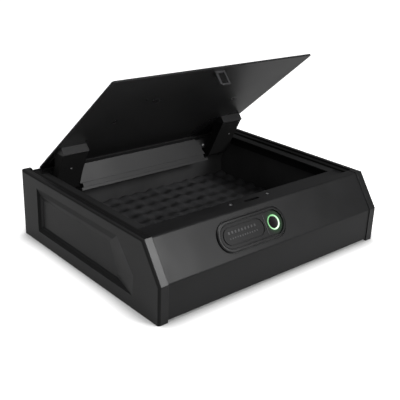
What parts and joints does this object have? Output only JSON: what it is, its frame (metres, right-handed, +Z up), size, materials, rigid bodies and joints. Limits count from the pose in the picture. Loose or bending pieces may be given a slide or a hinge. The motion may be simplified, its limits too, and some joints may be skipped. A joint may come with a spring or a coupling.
{
  "type": "pistol safe",
  "caption": "Slim steel pistol safe with a lift-up lid held open on sprung arms, foam-lined cavity, sloped keypad panel with a lit finger sensor, and a driven latch bolt.",
  "frame": {"origin": "centre of the footprint, on the floor under the feet", "axes": "+X to the right seen from the front, +Y to the back, +Z up"},
  "size_m": [0.369, 0.295, 0.2365],
  "materials": {
    "body_steel": "satin",
    "lid_steel": "satin",
    "inner_steel": "matt",
    "arm_steel": "satin",
    "end_moulding": "fine texture",
    "foam": "open-cell foam",
    "zinc": "zinc plated",
    "zinc_dark": "black zinc",
    "spring_steel": "oiled",
    "bezel_plastic": "semi-gloss",
    "face_plastic": "semi-gloss",
    "tick_ink": "printed",
    "ring_light": "diffusing",
    "sensor_plastic": "gloss",
    "inner_plastic": "matt",
    "board": "solder mask",
    "bolt_steel": "ground",
    "brass_gear": "machined",
    "motor_can": "plated",
    "cell_wrap": "printed wrap",
    "wire": "insulated",
    "foot_rubber": "matt"
  },
  "bodies": {
    "case": {"base_tub": "inner_steel", "front_panel": "body_steel", "side_panel_right": "end_moulding", "side_panel_left": "end_moulding", "inner_front_wall": "inner_steel", "lid_rest_right": "inner_steel", "lid_rest_left": "inner_steel", "foam_pad": "foam", "rear_cover": "body_steel", "cover_screw": "zinc", "hinge_bracket_right": "inner_steel", "hinge_bracket_left": "inner_steel", "hinge_rod": "zinc", "torsion_spring_right": "spring_steel", "torsion_spring_left": "spring_steel", "control_bezel": "bezel_plastic", "face_plate": "face_plastic", "tick_marks": "tick_ink", "light_ring": "ring_light", "control_housing": "inner_plastic", "circuit_board": "board", "latch_housing": "zinc_dark", "latch_screws": "zinc", "gear_motor": "motor_can", "battery_box": "inner_plastic", "battery_cells": "cell_wrap", "battery_door": "inner_plastic", "wire_harness": "wire", "rubber_feet": "foot_rubber"},
    "lid": {"lid_plate": "lid_steel", "strike_loop": "zinc_dark", "hinge_arm_right": "arm_steel", "hinge_arm_left": "arm_steel", "arm_rivets": "zinc"},
    "bolt": {"latch_bolt": "bolt_steel"},
    "pinion": {"drive_pinion": "brass_gear"},
    "sensor": {"sensor_button": "sensor_plastic"}
  },
  "joints": [
    {"name": "lid_hinge", "type": "hinge", "parent": "case", "child": "lid", "pos_m": [0, 0.1365, 0.0607], "axis": [1, 0, 0], "range_deg": [0, 40.3], "stiffness_Nm_per_rad": 2.2, "springref_deg": -51.57, "deforming": ["torsion_spring_right", "torsion_spring_left"]},
    {"name": "bolt_slide", "type": "slide", "parent": "case", "child": "bolt", "axis": [0, 1, 0], "range_m": [0, 0.008]},
    {"name": "pinion_spin", "type": "hinge", "parent": "case", "child": "pinion", "pos_m": [0, -0.107, 0.066], "axis": [1, 0, 0], "range_deg": [-115, 0]},
    {"name": "sensor_press", "type": "slide", "parent": "case", "child": "sensor", "axis": [0, 0.8262, -0.5633], "range_m": [0, 0.0008], "stiffness_N_per_m": 400, "springref_m": -0.001}
  ],
  "couplings": [
    {"joint": "pinion_spin", "follows": "bolt_slide", "rad_per_m": -250}
  ]
}
